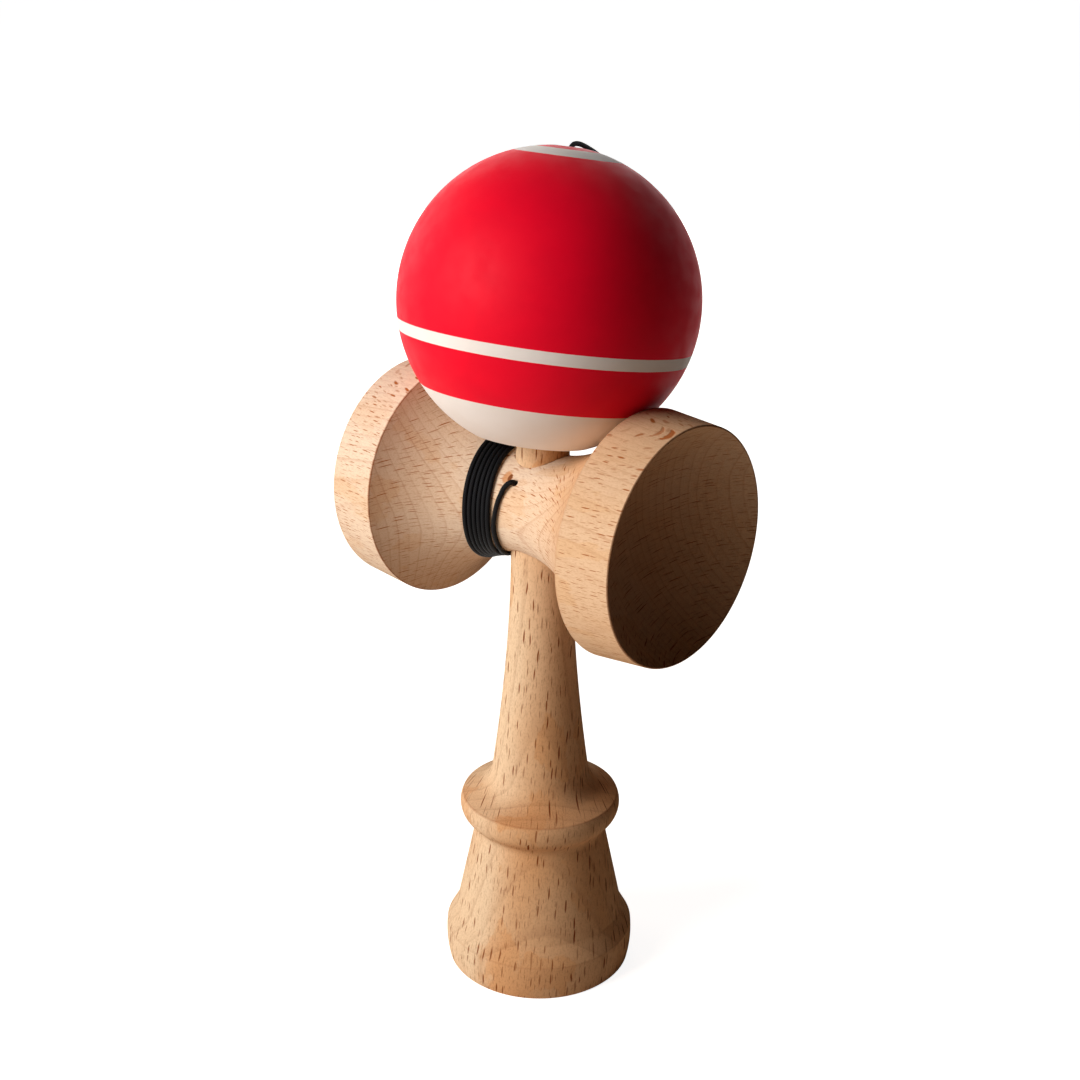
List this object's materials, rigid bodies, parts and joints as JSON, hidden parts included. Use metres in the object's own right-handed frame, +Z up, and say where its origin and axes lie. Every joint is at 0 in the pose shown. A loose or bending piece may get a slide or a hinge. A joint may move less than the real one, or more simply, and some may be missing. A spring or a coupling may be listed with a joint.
{
  "type": "kendama",
  "caption": "Wooden cup-and-ball toy: a turned handle with a spike and a foot cup, a cross-piece with a cup at each end, and a drilled, painted ball on a string.",
  "frame": {"origin": "middle of the foot's rim, on the table, on the handle's axis", "axes": "+Z up along the handle towards its spike, +X along the cross-piece to the big cup, -Y the front where the string leaves the cross-piece"},
  "size_m": [0.0736, 0.0612, 0.1793],
  "materials": {
    "ken_wood": "bare sanded beech, grain upright",
    "sarado_wood": "bare sanded beech, grain along the cross-piece",
    "tama_paint": "satin red lacquer over wood, with a white stripe and white ends",
    "bead_wood": "bare wood",
    "string": "braided black nylon"
  },
  "bodies": {
    "handle": {"ken": "ken_wood", "sarado": "sarado_wood", "anchor_knot": "string", "string_lead": "string", "string_winding": "string"},
    "tether": {"string_run": "string"},
    "bead": {"tama_bead": "bead_wood", "bead_knot": "string", "string_over": "string"},
    "tama": {"tama": "tama_paint"}
  },
  "joints": [
    {"name": "tama_lift", "type": "slide", "parent": "handle", "child": "tether", "axis": [0, 0, 1], "range_m": [0, 0.045], "deforming": ["string_run"]},
    {"name": "tama_tilt", "type": "hinge", "parent": "tether", "child": "bead", "pos_m": [0, 0.00155, 0.1491], "axis": [1, 0, 0], "range_deg": [0, 17]},
    {"name": "tama_spin", "type": "hinge", "parent": "bead", "child": "tama", "pos_m": [0, 0.00155, 0.1491], "axis": [0, 0.1822, 0.9833], "continuous": true}
  ]
}
